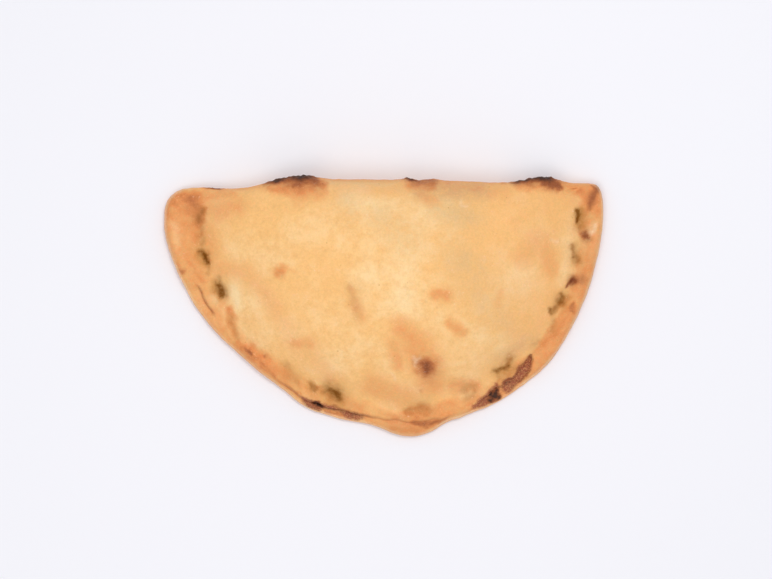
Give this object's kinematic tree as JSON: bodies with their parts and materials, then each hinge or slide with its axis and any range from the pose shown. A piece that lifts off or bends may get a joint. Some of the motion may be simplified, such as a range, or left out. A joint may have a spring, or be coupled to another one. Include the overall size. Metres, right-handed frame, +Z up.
{
  "type": "calzone",
  "caption": "Baked calzone: folded pizza dough with a swollen filled middle, a rounded fold with scorched blisters and a flat rim of layered, pinched dough.",
  "frame": {"origin": "the middle of the flat underside, below the centre of the overall outline", "axes": "+X along the straight folded edge, +Y from the sealed rim towards the fold, +Z up"},
  "size_m": [0.2403, 0.1428, 0.0402],
  "materials": {
    "crust": "baked dough crust, dry and matt"
  },
  "bodies": {
    "root": {"calzone": "crust"}
  },
  "joints": []
}
